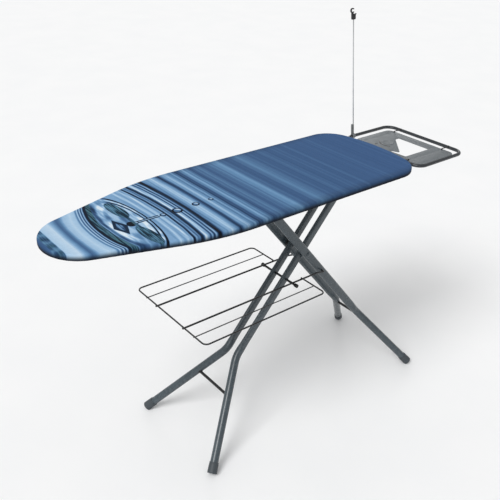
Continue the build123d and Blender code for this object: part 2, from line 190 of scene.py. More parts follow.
def bar(name, points, radius, bend=0.0, closed=False, sides=16):
    """Round bar or wire along a rounded polyline, with domed ends."""
    path = route(points, bend, closed)
    radii = [radius] * len(path)
    if not closed:
        for end, inner in ((0, 1), (-1, -2)):
            inward = (path[inner] - path[end]).normalized()
            tip = path.pop(end)
            radii.pop(end)
            dome = [(tip + inward * radius * (1 - math.sin(a)), radius * math.cos(a))
                    for a in (1.5, 1.25, 0.9, 0.5, 0.0)]
            if end == 0:
                path[:0] = [p for p, _ in dome]
                radii[:0] = [r for _, r in dome]
            else:
                path += [p for p, _ in reversed(dome)]
                radii += [r for _, r in reversed(dome)]
    up = (0, 0, 1) if closed else None
    return sweep(name, path, [round_section(r, sides) for r in radii], closed, up)


def turned(name, profile, origin, axis, sides=40, crease=35):
    """A turned shape; the profile is (radius, height) pairs along the axis from the origin."""
    axis, origin = Vector(axis).normalized(), Vector(origin)
    side = axis.orthogonal().normalized()
    other = axis.cross(side)
    rings = []
    for radius, height in profile:
        centre = origin + axis * height
        rings.append([centre + side * x + other * y for x, y in round_section(max(radius, 1e-5), sides)])
    return skin(name, rings, crease=crease)


def plate(name, loops, thickness, edge, z):
    """Flat sheet with rounded edges from its outer loop and any openings, its top at z."""
    curve = bpy.data.curves.new(name, "CURVE")
    curve.dimensions, curve.fill_mode = "2D", "BOTH"
    curve.extrude, curve.bevel_depth, curve.bevel_resolution = thickness / 2 - edge, edge, 2
    curve.offset = -edge
    for loop in loops:
        spline = curve.splines.new("POLY")
        spline.points.add(len(loop) - 1)
        spline.use_cyclic_u = True
        for point, corner in zip(spline.points, loop):
            point.co = (corner[0], corner[1], 0, 1)
    holder = bpy.data.objects.new(name, curve)
    mesh = bpy.data.meshes.new_from_object(holder)
    bpy.data.objects.remove(holder)
    mesh.transform(Matrix.Translation((0, 0, z - thickness / 2)))
    return shaded(name, mesh)


def weld(name, centre, bar_way, bar_radius, tube_way, tube_radius, size=1.7 * MM):
    """Bead round a bar where it meets a tube: the bar comes along bar_way from the tube's side."""
    bar_way, tube_way = Vector(bar_way).normalized(), Vector(tube_way).normalized()
    across = tube_way.cross(bar_way).normalized()
    along = bar_way.cross(across)
    foot = tube_way.dot(bar_way)
    path, radii = [], []
    for k in range(32):
        angle = k * math.pi / 16
        u, v = (bar_radius + 0.3 * size) * math.cos(angle), (bar_radius + 0.3 * size) * math.sin(angle)
        depth = math.sqrt(max(tube_radius ** 2 - v ** 2, 0)) / math.sqrt(1 - foot ** 2)
        lean = u * foot / math.sqrt(1 - foot ** 2)
        path.append(Vector(centre) + along * u + across * v + bar_way * (depth + lean))
        radii.append(size * (1 + 0.16 * math.sin(9 * angle) + 0.1 * math.sin(5 * angle + 1)))
    return sweep(name, path, [round_section(r, 10) for r in radii], closed=True)


def add(obj, body, slot, *nodes):
    """Gives a piece its material, its body and the CAD nodes it stands for."""
    obj.data.materials.clear()
    obj.data.materials.append(FINISH[slot])
    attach(obj, body)
    if nodes:
        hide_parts(*nodes)
    return obj


# ---------------------------------------------------------------- materials
class Field:
    """A float output in a material's node tree that Python arithmetic extends with Math nodes."""

    def __init__(self, tree, socket):
        self.tree, self.socket = tree, socket

    def math(self, operation, *others):
        node = self.tree.nodes.new("ShaderNodeMath")
        node.operation = operation
        for slot, item in zip(node.inputs, (self, *others)):
            if isinstance(item, Field):
                self.tree.links.new(item.socket, slot)
            else:
                slot.default_value = item
        return Field(self.tree, node.outputs[0])

    def __add__(self, other):
        return self.math("ADD", other)

    def __sub__(self, other):
        return self.math("SUBTRACT", other)

    def __rsub__(self, other):
        return self.math("MULTIPLY_ADD", -1.0, other)

    def __mul__(self, other):
        return self.math("MULTIPLY", other)

    def __truediv__(self, other):
        return self.math("DIVIDE", other)

    def __abs__(self):
        return self.math("ABSOLUTE")

    __radd__, __rmul__ = __add__, __mul__

    def power(self, other):
        return self.math("POWER", other)

    def most(self, other):
        return self.math("MAXIMUM", other)

    def least(self, other):
        return self.math("MINIMUM", other)

    def wave(self, length):
        """Sine of that wavelength."""
        return (self * (2 * math.pi / length)).math("SINE")

    def step(self, start, end):
        """0 before start and 1 after end, smooth between."""
        node = self.tree.nodes.new("ShaderNodeMapRange")
        node.interpolation_type = "SMOOTHSTEP"
        self.tree.links.new(self.socket, node.inputs["Value"])
        node.inputs["From Min"].default_value = start
        node.inputs["From Max"].default_value = end
        return Field(self.tree, node.outputs[0])

    def line(self, centre, half, soft):
        """1 within half of centre, fading over soft."""
        return 1.0 - abs(self - centre).step(half, half + soft)

    def ramp(self, low, high, stops, mode="LINEAR"):
        """A colour ramp over low to high; stops are (value, colour or grey) pairs."""
        node = self.tree.nodes.new("ShaderNodeValToRGB")
        node.color_ramp.interpolation = mode
        elements = node.color_ramp.elements
        while len(elements) < len(stops):
            elements.new(0.5)
        for element, (value, colour) in zip(elements, stops):
            element.position = (value - low) / (high - low)
            grey = isinstance(colour, (int, float))
            element.color = (colour, colour, colour, 1) if grey else (*colour, 1)
        scaled = (self - low) * (1 / (high - low))
        self.tree.links.new(scaled.socket, node.inputs["Fac"])
        return Field(self.tree, node.outputs["Color"])


class Paint:
    """A Principled material under construction, with object coordinates x, y and z as fields."""

    def __init__(self, name, values):
        self.material = bpy.data.materials.new(name)
        self.material.use_nodes = True
        self.tree = self.material.node_tree
        self.shader = self.tree.nodes["Principled BSDF"]
        for key, value in values.items():
            self.shader.inputs[key].default_value = value
        self.point = self.tree.nodes.new("ShaderNodeTexCoord").outputs["Object"]
        split = self.tree.nodes.new("ShaderNodeSeparateXYZ")
        self.tree.links.new(self.point, split.inputs[0])
        self.x, self.y, self.z = (Field(self.tree, out) for out in split.outputs)

    def noise(self, scale, detail=2.0, stretch=(1, 1, 1), rough=0.5):
        """Noise about 0.5, with features 1 / scale metres across."""
        place = self.tree.nodes.new("ShaderNodeMapping")
        place.inputs["Scale"].default_value = stretch
        self.tree.links.new(self.point, place.inputs["Vector"])
        node = self.tree.nodes.new("ShaderNodeTexNoise")
        node.inputs["Scale"].default_value = scale
        node.inputs["Detail"].default_value = detail
        node.inputs["Roughness"].default_value = rough
        self.tree.links.new(place.outputs[0], node.inputs["Vector"])
        return Field(self.tree, node.outputs[0])

    def stripes(self, field, scale, detail=2.0):
        """Noise that changes only along a field."""
        node = self.tree.nodes.new("ShaderNodeTexNoise")
        node.noise_dimensions = "1D"
        node.inputs["Scale"].default_value = scale
        node.inputs["Detail"].default_value = detail
        self.tree.links.new(field.socket, node.inputs["W"])
        return Field(self.tree, node.outputs[0])

    def mix(self, amount, first, second):
        """Colour that goes from first to second as amount goes from 0 to 1."""
        node = self.tree.nodes.new("ShaderNodeMix")
        node.data_type = "RGBA"
        for slot, item in ((node.inputs[0], amount), (node.inputs[6], first), (node.inputs[7], second)):
            if isinstance(item, Field):
                self.tree.links.new(item.socket, slot)
            elif isinstance(item, (int, float)):
                slot.default_value = item
            else:
                slot.default_value = (*item, 1)
        return Field(self.tree, node.outputs[2])

    def worn(self):
        """1 on convex edges, broken up by noise, and 0 elsewhere."""
        geometry = self.tree.nodes.new("ShaderNodeNewGeometry")
        edge = Field(self.tree, geometry.outputs["Pointiness"]).step(0.53, 0.6)
        return edge * self.noise(180, 3).step(0.42, 0.62)

    def colour(self, field):
        self.tree.links.new(field.socket, self.shader.inputs["Base Color"])
        return self

    def roughness(self, field):
        self.tree.links.new(field.socket, self.shader.inputs["Roughness"])
        return self

    def bump(self, field, depth):
        """Relief of that depth in metres where the field goes from 0 to 1."""
        node = self.tree.nodes.new("ShaderNodeBump")
        node.inputs["Distance"].default_value = depth
        self.tree.links.new(field.socket, node.inputs["Height"])
        self.tree.links.new(node.outputs[0], self.shader.inputs["Normal"])
        return self


def srgb(*values):
    """Linear colour of an 8-bit sRGB one."""
    return tuple(((v / 255 + 0.055) / 1.055) ** 2.4 if v > 10 else v / 255 / 12.92 for v in values)


def powder_coat(name, colour, rough, lighter=1.35, sheen_scale=900):
    """Satin powder coat: orange-peel relief, faint mottling, and paler scuffs on the edges."""
    paint = Paint(name, {"IOR": 1.5})
    pale = tuple(min(1, c * lighter + 0.02) for c in colour)
    mottled = paint.mix(paint.noise(35, 3).step(0.3, 0.75), tuple(c * 0.9 for c in colour),
                        tuple(c * 1.1 for c in colour))
    speckled = paint.mix(paint.noise(2600, 1).step(0.58, 0.75) * 0.35, mottled, pale)
    paint.colour(paint.mix(paint.worn() * 0.6, speckled, pale))
    paint.roughness(paint.noise(60, 3) * 0.14 + (rough - 0.07))
    paint.bump(paint.noise(sheen_scale, 2), 0.00006)
    return paint.material


def moulded(name, colour, rough):
    """Moulded plastic: fine spark-eroded grain and slight gloss variation."""
    paint = Paint(name, {"IOR": 1.46})
    pale = tuple(min(1, c * 1.6 + 0.012) for c in colour)
    base = paint.mix(paint.noise(24, 2).step(0.3, 0.7), tuple(c * 0.88 for c in colour), colour)
    paint.colour(paint.mix(paint.worn() * 0.5, base, pale))
    paint.roughness(paint.noise(90, 4) * 0.2 + (rough - 0.1))
    paint.bump(paint.noise(1500, 3, rough=0.7), 0.00012)
    return paint.material


def metal(name, colour, rough, stretch=(1, 1, 1)):
    """Bare or plated metal with drawing lines and slight clouding."""
    paint = Paint(name, {"Metallic": 1.0})
    clouds = paint.noise(45, 3).step(0.3, 0.7)
    paint.colour(paint.mix(clouds, tuple(c * 0.86 for c in colour), colour))
    lines = paint.noise(1400, 2, stretch)
    paint.roughness(lines * 0.16 + clouds * 0.08 + (rough - 0.12))
    paint.bump(lines, 0.00002)
    return paint.material


def felt(name):
    """Needle felt: matted grey fibres with darker and lighter strands."""
    paint = Paint(name, {"Roughness": 0.95, "Sheen Weight": 0.25, "Specular IOR Level": 0.15})
    fibres = paint.noise(900, 4, (1, 3, 1), 0.7)
    clumps = paint.noise(140, 3)
    base = paint.mix(fibres.step(0.35, 0.65), srgb(150, 152, 150), srgb(205, 206, 203))
    paint.colour(paint.mix(clumps.step(0.45, 0.75) * 0.4, base, srgb(120, 125, 130)))
    paint.bump(fibres * 0.6 + clumps * 0.4, 0.0006)
    return paint.material


FLAT = (1, 1, 0)  # noise stretch that leaves out the height, so that lines run down the skirt


def ripple_cloth(name):
    """Woven cover with a printed water ripple: rings round a splash, then stripes to the butt."""
    paint = Paint(name, {"Roughness": 0.86, "Sheen Weight": 0.03, "Specular IOR Level": 0.1})
    wobble = (paint.noise(14, 2, FLAT) - 0.5) * 0.004
    x, y = paint.x - NOSE + wobble, paint.y + (paint.noise(11, 2, FLAT) - 0.5) * 0.006
    fall = (y + 0.02) * (y + 0.02)

    # Depth of tone along the board, bent into arcs on both sides of the ring: 0 dark, 1 pale.
    left = x - fall * (1.3 * x.step(0.05, 0.14))
    right = x + fall * (0.5 * (1.0 - x.step(0.30, 0.56)))
    tone_left = left.ramp(0, 0.3, (
        (0.0, 0.34), (0.020, 0.60), (0.034, 0.90), (0.060, 0.94), (0.070, 0.72), (0.080, 0.44), (0.086, 0.52),
        (0.094, 0.84), (0.110, 0.92), (0.124, 0.86), (0.129, 0.50), (0.133, 0.98), (0.137, 0.30), (0.141, 1.0),
        (0.144, 0.10), (0.148, 0.95), (0.151, 0.02), (0.158, 0.04), (0.161, 0.82), (0.164, 0.10), (0.171, 0.02),
        (0.178, 0.06), (0.181, 0.95), (0.184, 0.20), (0.188, 0.90), (0.196, 0.76), (0.30, 0.76)))
    tone_right = right.ramp(0.29, 0.44, (
        (0.29, 0.80), (0.304, 0.66), (0.312, 0.92), (0.322, 0.70), (0.333, 0.90), (0.340, 0.62), (0.343, 0.84),
        (0.346, 0.06), (0.349, 0.10), (0.353, 0.78), (0.358, 0.40), (0.362, 0.66), (0.366, 0.04), (0.371, 0.12),
        (0.377, 0.97), (0.386, 0.80), (0.391, 0.20), (0.395, 0.88), (0.400, 0.08), (0.405, 0.84), (0.411, 0.04),
        (0.418, 0.02), (0.424, 0.60), (0.44, 0.78)))
    tone_broad = right.ramp(0.44, 0.62, (
        (0.44, 0.78), (0.452, 0.86), (0.466, 0.56), (0.474, 0.12), (0.482, 0.60), (0.494, 0.84), (0.508, 0.56),
        (0.518, 0.72), (0.530, 0.24), (0.538, 0.30), (0.550, 0.68), (0.570, 0.60), (0.582, 0.36), (0.62, 0.54)))
    tone_right = tone_right + (tone_broad - tone_right) * right.step(0.438, 0.442)
    tone = tone_left + (tone_right - tone_left) * x.step(0.286, 0.296)
    far = x.step(0.58, 0.62)
    broad = (paint.stripes(x, 20, 1) - 0.5) * (0.42 - 0.34 * x.step(0.6, 0.95))
    fine = (paint.stripes(x, 75, 2) - 0.5) * (0.30 - 0.20 * x.step(0.55, 1.0))
    tone = tone + (0.53 - 0.11 * x.step(0.58, 0.95) + broad + fine - tone) * far
    tone = tone + (paint.stripes(x, 130, 1) - 0.5) * 0.35 * x.step(0.28, 0.34) * (1.0 - far)

    # The ring: a tall ellipse with a doubled dark edge on the right and streaked lobes inside.
    inside_x, inside_y = (x - 0.235) / 0.060, (y + 0.014) / 0.180
    ring = (inside_x * inside_x + inside_y * inside_y).power(0.5)
    hollow = 1.0 - ring.step(0.98, 1.04)
    ground = 0.88 - 0.42 * paint.noise(44, 2, (1, 0.22, 0)).step(0.38, 0.68)
    tone = tone + (ground - tone) * hollow
    rightward = inside_x.step(0.1, 0.55)
    tone = tone - (ring.line(1.0, 0.018, 0.03) + ring.line(0.84, 0.014, 0.03)) * 0.75 * rightward
    tone = tone + ring.line(0.92, 0.02, 0.03) * 0.25 * rightward + ring.line(0.70, 0.05, 0.08) * 0.16
    tone = tone - ring.line(0.90, 0.02, 0.10) * 0.4 * (1.0 - inside_x.step(-0.6, -0.2))
    lobes = None
    for lobe_y, height in ((0.066, 0.058), (-0.108, 0.060)):
        u, v = (x - 0.250 + (y - lobe_y) * 0.06) / 0.019, (y - lobe_y) / height
        lobe = u * u + v * v
        lobes = lobe if lobes is None else lobes.least(lobe)
    streak = paint.noise(210, 2, (1, 0.07, 0)).step(0.40, 0.60)
    in_lobe = 1.0 - lobes.step(0.8, 1.05)
    outlined = abs(lobes - 0.90).step(0.0, 0.22)
    tone = tone + ((0.04 + 0.46 * streak) * outlined - tone) * in_lobe
    band = x.line(0.252, 0.003, 0.003) * y.line(-0.025, 0.070, 0.02) * 0.8
    tone = tone + (0.06 + 0.2 * streak - tone) * band

    # The splash: a dark-edged diamond, its neck, a beaded tail and four drops.
    crater = abs(x - 0.2095) / 0.021 + abs(y + 0.028) / 0.050
    tone = tone + (0.10 - tone) * (1.0 - crater.step(0.94, 1.04))
    tone = tone + (0.16 + 0.5 * streak - tone) * (1.0 - crater.step(0.46, 0.60))
    neck_x, neck_y = (x - 0.241) / 0.012, (y + 0.029) / 0.015
    neck = neck_x * neck_x + neck_y * neck_y
    tone = tone * neck.step(0.8, 1.1)
    tail_y = abs(y + 0.029)
    tail = x.line(0.290, 0.036, 0.002) * (1.0 - tail_y.step(0.0058, 0.0070))
    tone = tone + (0.03 + 0.8 * (1.0 - tail_y.step(0.0012, 0.0026)) - tone) * tail
    for drop_x, drop_y, size in ((0.256, -0.030, 0.0062), (0.339, -0.030, 0.0080), (0.386, -0.029, 0.0135),
                                 (0.452, -0.024, 0.0100), (0.506, -0.022, 0.0068)):
        u, v = x - drop_x, y - drop_y
        reach = (u * u + v * v).power(0.5) / size
        lit = (u + v) / size
        body = 0.50 + 0.5 * lit.step(-0.2, 0.9)
        tone = tone + (body - tone) * (1.0 - reach.step(0.9, 1.0))
        tone = tone - reach.line(0.95, 0.14, 0.12) * (0.7 + 0.3 * (1.0 - lit.step(-1.0, 0.6)))

    # Dark band left of the ring, broken into teal leaves, and the wavy band at the tip.
    leafy = left.line(0.1655, 0.006, 0.002)
    leaf = (y + 0.035).wave(0.19) * 0.5 + 0.5
    tone = tone + (0.30 * leaf * streak - tone + 0.04) * leafy
    tip = left.line(0.020, 0.009, 0.003)
    swirl = (y + paint.noise(60, 2) * 0.02).wave(0.045) * 0.5 + 0.5
    tone = tone + (0.22 + 0.36 * swirl - tone) * tip

    print_colour = tone.most(0.0).ramp(0, 1, (
        (0.0, srgb(6, 12, 22)), (0.12, srgb(16, 42, 68)), (0.30, srgb(42, 74, 112)),
        (0.42, srgb(60, 93, 135)), (0.53, srgb(82, 120, 160)), (0.62, srgb(98, 140, 180)),
        (0.76, srgb(128, 168, 206)), (0.90, srgb(172, 204, 231)), (1.0, srgb(222, 236, 246))))
    teal = (in_lobe + band + leafy + tip * 0.6).least(1.0) * 0.45
    tinted = paint.mix(teal, print_colour, paint.mix(streak, srgb(12, 50, 64), srgb(104, 160, 178)))
    butt = paint.mix(x.step(0.8, 1.25) * 0.18, tinted, srgb(48, 78, 134))
    weave = paint.x.wave(0.0011) * 0.5 + paint.y.wave(0.0011) * 0.5
    slubs = paint.noise(320, 3, (1, 0.2, 1)) * 0.5 + paint.noise(320, 3, (0.2, 1, 1)) * 0.5
    # Painted shade: on the wide part the print darkens over the last 40 mm of both long edges, standing in for the
    # shading on the padded edge.
    lip = abs(paint.y).step(0.176, 0.216) * x.step(0.35, 0.6) * 0.34
    # Painted shade: the skirt darkens almost to black from the top of the edge down to the hem, standing in for
    # the shade on the rolled-under edge.
    hem = paint.mix((1.0 - paint.z.step(HEM + 0.004, TOP + 0.001)) * 0.95,
                    paint.mix(lip, butt, srgb(26, 34, 48)), srgb(18, 21, 26))
    paint.colour(paint.mix(slubs.step(0.3, 0.7) * 0.10, hem, srgb(30, 50, 80)))
    paint.bump(weave * 0.3 + slubs, 0.00022)
    return paint.material


def floor_finish(name):
    """Pale studio floor."""
    paint = Paint(name, {"Roughness": 0.9, "Specular IOR Level": 0.1})
    paint.colour(paint.mix(paint.noise(3, 2), srgb(244, 245, 246), srgb(250, 250, 250)))
    return paint.material


SLATE, CHARCOAL, BLACK = srgb(66, 76, 82), srgb(42, 46, 50), srgb(20, 21, 23)
FINISH = {
    "cover_cloth": ripple_cloth("ripple_cloth"),
    "felt": felt("needle_felt"),
    "deck_paint": powder_coat("deck_powder_coat", srgb(176, 180, 183), 0.42),
    "leg_paint": powder_coat("leg_powder_coat", SLATE, 0.27),
    "wire_paint": powder_coat("wire_powder_coat", BLACK, 0.36),
    "rest_paint": powder_coat("rest_powder_coat", CHARCOAL, 0.28),
    "plate_paint": powder_coat("plate_powder_coat", srgb(96, 102, 106), 0.45),
    "zinc": metal("zinc_plate", srgb(196, 198, 196), 0.34),
    "foot_plastic": moulded("foot_plastic", srgb(66, 73, 78), 0.55),
    "black_plastic": moulded("black_plastic", srgb(24, 25, 27), 0.50),
    "socket_plastic": moulded("socket_plastic", srgb(112, 115, 116), 0.55),
    "guide_steel": metal("spring_steel", srgb(205, 207, 208), 0.24, (1, 1, 0.05)),
}

# ---------------------------------------------------------------- board
TAPER = math.radians(17.2)
NOSE_R, SHOULDER_R, CORNER_R, BOW_R = 0.118, 0.740, 0.095, 0.600
BOARD_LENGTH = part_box("board_cover")[1].x - NOSE
BOARD_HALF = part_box("board_cover")[1].y
CORNER_Y = BOARD_HALF - CORNER_R
CORNER_REACH = math.sqrt((BOW_R - CORNER_R) ** 2 - CORNER_Y ** 2)
CORNER_STATION = BOARD_LENGTH - BOW_R + CORNER_REACH
BOW_HALF = math.atan2(CORNER_Y, CORNER_REACH)
RISE = BOARD_HALF - SHOULDER_R * (1 - math.cos(TAPER)) - NOSE_R * math.cos(TAPER)
SHOULDER_STATION = (NOSE_R - NOSE_R * math.sin(TAPER) + RISE / math.tan(TAPER)
                    + SHOULDER_R * math.sin(TAPER))


def half_outline(spacing):
    """Points and outward normals of the board's edge from the nose tip to the middle of the back."""
    half_turn, quarter = math.pi, math.pi / 2
    arcs = (
        ((NOSE_R, 0), NOSE_R, half_turn, quarter + TAPER),
        ((SHOULDER_STATION, BOARD_HALF - SHOULDER_R), SHOULDER_R, quarter + TAPER, quarter),
        ((CORNER_STATION, CORNER_Y), CORNER_R, quarter, BOW_HALF),
        ((BOARD_LENGTH - BOW_R, 0), BOW_R, BOW_HALF, 0),
    )
    samples = []
    for centre, radius, start, end in arcs:
        first = np.array(centre) + radius * np.array((math.cos(start), math.sin(start)))
        if samples:
            last, way = samples[-1]
            steps = max(1, round(float(np.linalg.norm(first - last)) / spacing))
            samples += [(last + (first - last) * k / steps, way) for k in range(1, steps)]
        steps = max(2, round(radius * abs(end - start) / spacing))
        for k in range(steps + 1):
            way = np.array((math.cos(start + (end - start) * k / steps),
                            math.sin(start + (end - start) * k / steps)))
            samples.append((np.array(centre) + radius * way, way))
    return samples


def outline(spacing):
    """The whole edge: points from the nose tip, outward normals, and distance along the edge."""
    half = half_outline(spacing)
    flip = np.array((1, -1))
    whole = half + [(p * flip, way * flip) for p, way in reversed(half[1:-1])]
    points = np.array([p for p, _ in whole]) + (NOSE, 0)
    ways = np.array([way for _, way in whole])
    steps = np.linalg.norm(np.roll(points, -1, 0) - points, axis=1)
    return points, ways, np.concatenate([[0], np.cumsum(steps)[:-1]]), steps.sum()


def edge_ring(points, ways, inset, z):
    """The outline moved in by inset, at height z, which may vary along it."""
    flat = points - ways * np.reshape(inset, (-1, 1))
    return np.column_stack([flat, np.broadcast_to(z, len(points))])


def towards_axis(ring, share, z):
    """A ring drawn a share of the way to the board's middle line."""
    middle = np.clip(ring[:, 0], NOSE + NOSE_R, NOSE + CORNER_STATION)
    target = np.column_stack([middle, np.zeros(len(ring)), np.full(len(ring), z)])
    mixed = ring + (target - ring) * share
    mixed[:, 2] = z
    return mixed


def cover():
    """Stretched cover: flat top, rounded edge, skirt rolled under, gathered hem on its drawcord."""
    points, ways, run, length = outline(0.0034)
    sag = 0.35 * MM
    ends = np.clip(1 - (points[:, 0] - NOSE) / 0.30, 0, 1) + np.clip((points[:, 0] - NOSE - 1.08) / 0.1, 0, 1)
    folds = 0.5 + 0.5 * np.sin(run * 2 * math.pi / (length / 118) + 2.1 * np.sin(run * 9) + np.sin(run * 23))
    depth = (0.45 + 0.75 * np.clip(ends, 0, 1)) * MM
    top = TOP - sag
    edge_r, roll_r, hem = 6.5 * MM, 3.4 * MM, 32 * MM
    rings = [towards_axis(edge_ring(points, ways, 14 * MM, top), share, top)
             for share in (1, 0.85, 0.65, 0.45, 0.3, 0.17, 0.07)]
    rings.append(edge_ring(points, ways, 14 * MM, top))
    for angle in np.linspace(0, math.pi / 2, 8):
        rings.append(edge_ring(points, ways, edge_r * (1 - math.sin(angle)),
                               top - edge_r * (1 - math.cos(angle))))
    for level in (0.35, 0.7):
        ease = folds * 0.2 * MM * level
        rings.append(edge_ring(points, ways, ease, top - edge_r - level * (top - edge_r - HEM - roll_r)))
    for angle in np.linspace(0, math.pi / 2, 7):
        crimp = folds * depth * 0.35 * math.sin(angle)
        rings.append(edge_ring(points, ways, roll_r * (1 - math.cos(angle)) + folds * 0.25 * MM,
                               HEM + roll_r * (1 - math.sin(angle)) + crimp * 0.4))
    for inset in (6, 9, 13, 18, 23, 27, 29.5):
        share = (inset * MM - roll_r) / (hem - roll_r)
        rings.append(edge_ring(points, ways, inset * MM, HEM + 0.1 * MM + folds * depth * (0.3 + 0.7 * share)))
    bead, pucker = 2.1 * MM, folds * depth
    for angle in np.linspace(-math.pi / 2, 1.25 * math.pi, 9):
        rings.append(edge_ring(points, ways, hem + bead * math.cos(angle) - bead * 0.2,
                               HEM + bead + pucker * 0.6 + bead * math.sin(angle)))
    cloth = skin("cover_cloth", rings, caps=False, crease=80)
    modifier(cloth, "SOLIDIFY", thickness=0.5 * MM, offset=-1)
    add(cloth, "board", "cover_cloth", "board_cover")


def pad():
    """Felt pad under the cover: rounded top edge, slightly uneven, stepped where the deck holds it."""
    points, ways, run, _ = outline(0.006)
    low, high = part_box("felt_pad")
    uneven = 0.25 * MM * (1 + np.sin(run * 31) * np.sin(run * 7))
    rings = [towards_axis(edge_ring(points, ways, 16 * MM, high.z - 0.6 * MM), share, high.z - 0.6 * MM)
             for share in (1, 0.6, 0.25)]
    for angle in np.linspace(0, math.pi / 2, 6):
        rings.append(edge_ring(points, ways, 2.2 * MM + 3.4 * MM * (1 - math.sin(angle)) + uneven,
                               high.z - 0.6 * MM - 3.4 * MM * (1 - math.cos(angle))))
    rings.append(edge_ring(points, ways, 2.4 * MM + uneven, low.z + 2.0 * MM))
    rings.append(edge_ring(points, ways, 14.4 * MM, low.z + 1.8 * MM))
    rings.append(edge_ring(points, ways, 15.0 * MM, low.z + 0.1 * MM))
    rings += [towards_axis(rings[-1], share, low.z + 0.1 * MM) for share in (0.25, 0.6, 1)]
    felt_pad = skin("felt_pad_soft", rings, caps=False, crease=60)
    add(felt_pad, "board", "felt", "felt_pad")


def inside_outline(x, y, inset):
    """Whether points lie inside the board's edge by at least inset."""
    points, ways, _, _ = outline(0.01)
    across = (x[:, None] - points[None, :, 0]) * ways[None, :, 0]
    along = (y[:, None] - points[None, :, 1]) * ways[None, :, 1]
    return (across + along).max(1) < -inset


def deck():
    """Expanded-steel deck: a lattice of diamonds cut to the board, its strands made by a wireframe modifier."""
    low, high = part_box("deck_sheet")
    pitch_x, pitch_y = 26 * MM, 11.5 * MM
    columns, rows = math.ceil((high.x - low.x) / pitch_x), math.ceil(high.y / pitch_y)
    centres = []
    for row in range(-2 * rows, 2 * rows + 1):
        shift = pitch_x / 2 if row % 2 else 0
        centres += [(low.x + column * pitch_x + shift, row * pitch_y / 2) for column in range(columns + 1)]
    centres = np.array(centres)
    kept = centres[inside_outline(centres[:, 0], centres[:, 1], 9 * MM)]
    z = (low.z + high.z) / 2
    half_x, half_y = pitch_x / 2, pitch_y / 2
    corners, faces = [], []
    for x, y in kept:
        base = len(corners)
        corners += [(x - half_x, y, z), (x, y - half_y, z), (x + half_x, y, z), (x, y + half_y, z)]
        faces.append((base, base + 1, base + 2, base + 3))
    mesh = piece("deck_mesh", corners, faces)
    modifier(mesh, "WIREFRAME", thickness=0.9 * MM, use_even_offset=False)
    add(mesh, "board", "deck_paint", "deck_sheet")


def rivet(name, centre, axis, radius, height):
    """Domed head with a small brim, its base at centre."""
    arc = [(radius * math.cos(a), height * math.sin(a)) for a in np.linspace(0.15, 1.5, 7)]
    return turned(name, [(radius * 0.98, 0), (radius * 1.04, height * 0.08), *arc], centre, axis, 24)


# ---------------------------------------------------------------- legs
BEND_R = 0.090
OVAL, TUBE_R, CAP_R, BAR_R = (0.015, 0.0075), 0.0135, 16.0, 0.005
PAIRS = {
    "inner": {"y": 26.4 * MM, "bend_z": 0.268, "foot": (0.381, 0.203), "way": 1},
    "outer": {"y": 52.0 * MM, "bend_z": 0.249, "foot": (1.362, 0.1965), "way": -1},
}
PIVOT, HINGE = JOINT["outer_fold"], JOINT["inner_fold"]


def leg_line(pair, side):
    """Top pin, bend and floor point of one leg, mirrored about the pivot for the other pair."""
    spec = PAIRS[pair]
    reach, rise = spec["way"] * (HINGE.x - PIVOT.x), HINGE.z - PIVOT.z
    top = Vector((PIVOT.x + reach, side * spec["y"], HINGE.z))
    bend_x = PIVOT.x - reach * (PIVOT.z - spec["bend_z"]) / rise
    bend = Vector((bend_x, side * spec["y"], spec["bend_z"]))
    station, spread = spec["foot"]
    return top, bend, Vector((NOSE + station, side * spread, 0))


def leg(pair, name, side):
    """Flat-oval tube with a round crown, drawn down to a round lower tube that bends outwards."""
    top, bend, floor = leg_line(pair, side)
    down, out = (bend - top).normalized(), (floor - bend).normalized()
    reach = BEND_R * math.tan(down.angle(out) / 2)
    neck_end = bend - down * (reach + 4 * MM)
    neck = 34 * MM
    path, sections = [], []
    for angle in np.linspace(0.12, math.pi / 2, 7):
        path.append(top - down * OVAL[0] * math.cos(angle))
        sections.append(oval_section(OVAL[0] * math.sin(angle), OVAL[1]))
    for share in np.linspace(0, 1, 6):
        ease = share * share * (3 - 2 * share)
        path.append(neck_end - down * neck * (1 - share))
        sections.append(oval_section(OVAL[0] + (TUBE_R - OVAL[0]) * ease, OVAL[1] + (TUBE_R - OVAL[1]) * ease))
    lower = route([neck_end, bend, floor - out * 18 * MM], BEND_R, turn=3)[1:]
    path += lower
    sections += [oval_section(TUBE_R, TUBE_R)] * len(lower)
    tube = sweep(f"{pair}_tube_{name}", path, sections, up=(0, 1, 0))
    add(tube, f"{pair}_legs", "leg_paint", f"{pair}_leg_{name}")


def foot(pair, name, side):
    """Plastic foot cap: lip, groove, faintly flared barrel and square end, worn flat on the floor."""
    _, bend, floor = leg_line(pair, side)
    back = (bend - floor).normalized()
    lean = back.orthogonal().normalized()
    cross = back.cross(lean)
    end = (CAP_R * math.sqrt(1 - back.z ** 2) - 3.5) / back.z
    profile = (
        (13.55, 47.0), (13.8, 47.8), (14.9, 48.0), (15.4, 47.4), (15.5, 44.8), (15.1, 44.4), (15.1, 43.2),
        (15.5, 42.8), (15.8, 30.0), (CAP_R, 18.0), (CAP_R, end + 1.8), (15.7, end + 0.7), (15.1, end + 0.1),
        (14.4, end), (9.0, end), (8.5, end + 0.6), (0.5, end + 0.6),
    )
    rings = []
    for radius, height in profile:
        ring = []
        for x, y in round_section(radius, 48):
            point = floor + (back * height + lean * x + cross * y) * MM
            ring.append(point + back * (max(0, -point.z) / back.z))
        rings.append(ring)
    boot = skin(f"{pair}_foot_{name}", rings, crease=40)
    add(boot, f"{pair}_legs", "foot_plastic", f"{pair}_foot_cap_{name}")


